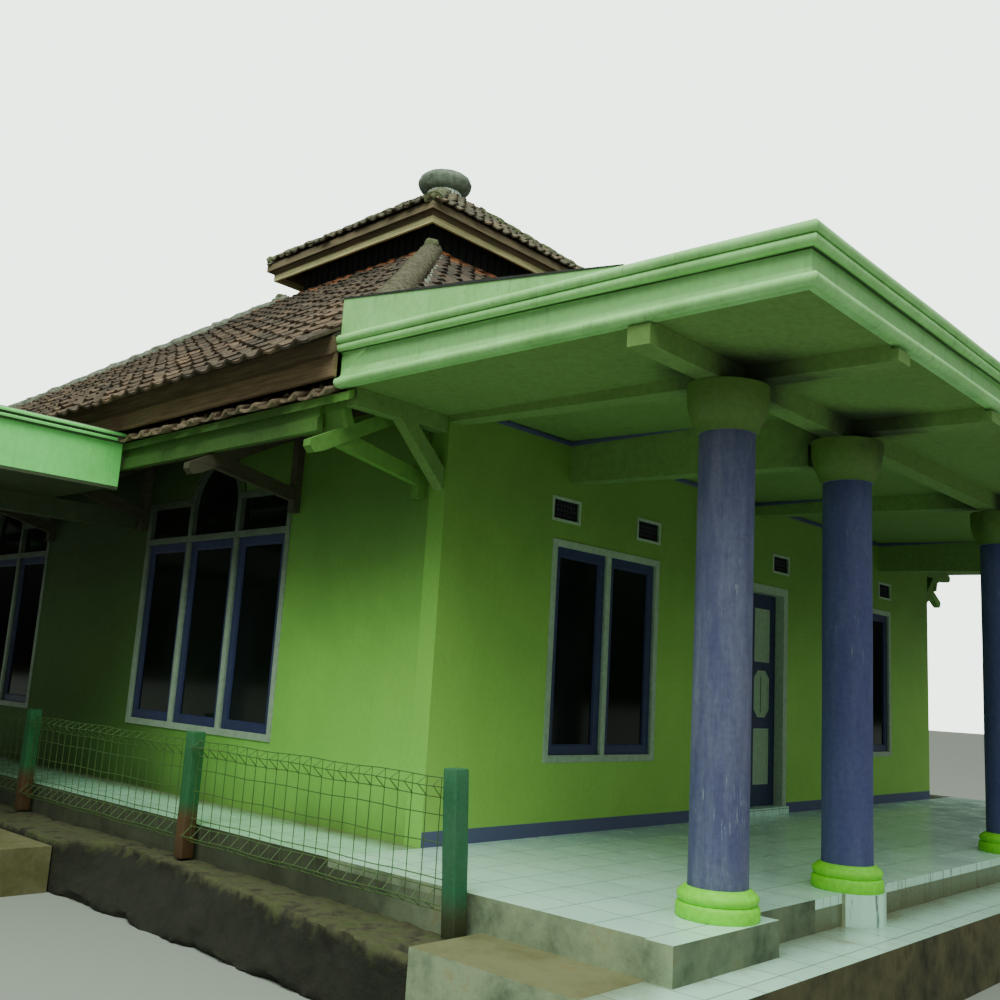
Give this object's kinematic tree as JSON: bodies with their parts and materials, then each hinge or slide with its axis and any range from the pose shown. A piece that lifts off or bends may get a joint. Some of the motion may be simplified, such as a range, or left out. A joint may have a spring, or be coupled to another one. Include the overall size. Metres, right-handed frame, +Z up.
{
  "type": "small village mosque building",
  "caption": "Small village mosque: plastered hall under a two-tier tiled roof, flat-roofed porch on round columns, double door, side canopy and mesh fence",
  "frame": {"origin": "underside of the foundation at ground level, below the near left corner of the hall's front wall", "axes": "+X along the porch front, +Y from the front wall to the rear wall, +Z up"},
  "size_m": [13.4099, 12.568, 8.03],
  "materials": {
    "grey_concrete": "matte",
    "floor_tile": "gloss",
    "mossy_masonry": "matte",
    "wall_plaster": "matte",
    "window_unit": "satin",
    "white_joinery": "satin",
    "indigo_joinery": "satin",
    "column_paint": "satin",
    "soffit_paint": "matte",
    "edge_moulding_paint": "matte",
    "clay_roof_tile": "matte",
    "dark_slats": "matte",
    "finial_concrete": "matte",
    "fence_paint": "satin"
  },
  "bodies": {
    "building": {"foundation_plinth": "grey_concrete", "porch_floor": "floor_tile", "hall_floor": "floor_tile", "porch_step": "grey_concrete", "retaining_wall": "mossy_masonry", "canopy_floor": "mossy_masonry", "front_wall_left": "wall_plaster", "front_wall_right": "wall_plaster", "front_wall_upper": "wall_plaster", "left_wall": "wall_plaster", "right_wall": "wall_plaster", "rear_wall": "wall_plaster", "window_front_left": "window_unit", "window_front_right": "window_unit", "window_left_near": "window_unit", "window_right_near": "window_unit", "window_left_far": "window_unit", "window_right_far": "window_unit", "door_threshold": "floor_tile", "door_frame": "white_joinery", "column_1": "column_paint", "column_2": "column_paint", "column_3": "column_paint", "column_4": "column_paint", "column_5": "column_paint", "porch_front_beam": "soffit_paint", "porch_cross_beam_1": "soffit_paint", "porch_cross_beam_2": "soffit_paint", "porch_cross_beam_3": "soffit_paint", "porch_cross_beam_4": "soffit_paint", "porch_cross_beam_5": "soffit_paint", "porch_slab": "soffit_paint", "porch_cornice": "edge_moulding_paint", "porch_kerb_left": "edge_moulding_paint", "porch_kerb_right": "edge_moulding_paint", "porch_roof_screed": "grey_concrete", "corner_bracket_left": "soffit_paint", "corner_bracket_right": "soffit_paint", "main_roof_left": "clay_roof_tile", "main_roof_right": "clay_roof_tile", "main_roof_front": "clay_roof_tile", "main_roof_rear": "clay_roof_tile", "clerestory_screen": "dark_slats", "upper_roof": "clay_roof_tile", "finial": "finial_concrete", "skirt_roof_left": "clay_roof_tile", "skirt_roof_right": "clay_roof_tile", "canopy_roof": "edge_moulding_paint", "canopy_column_1": "column_paint", "canopy_column_2": "column_paint", "fence_bay_1": "fence_paint", "fence_bay_2": "fence_paint", "fence_bay_3": "fence_paint"},
    "door_left": {"door_leaf_left": "indigo_joinery"},
    "door_right": {"door_leaf_right": "indigo_joinery"}
  },
  "joints": [
    {"name": "door_left_hinge", "type": "hinge", "parent": "building", "child": "door_left", "pos_m": [3.524, 0.1235, 1.55], "axis": [0, 0, 1], "range_deg": [0, 90]},
    {"name": "door_right_hinge", "type": "hinge", "parent": "building", "child": "door_right", "pos_m": [4.476, 0.1235, 1.55], "axis": [0, 0, -1], "range_deg": [0, 90]}
  ]
}
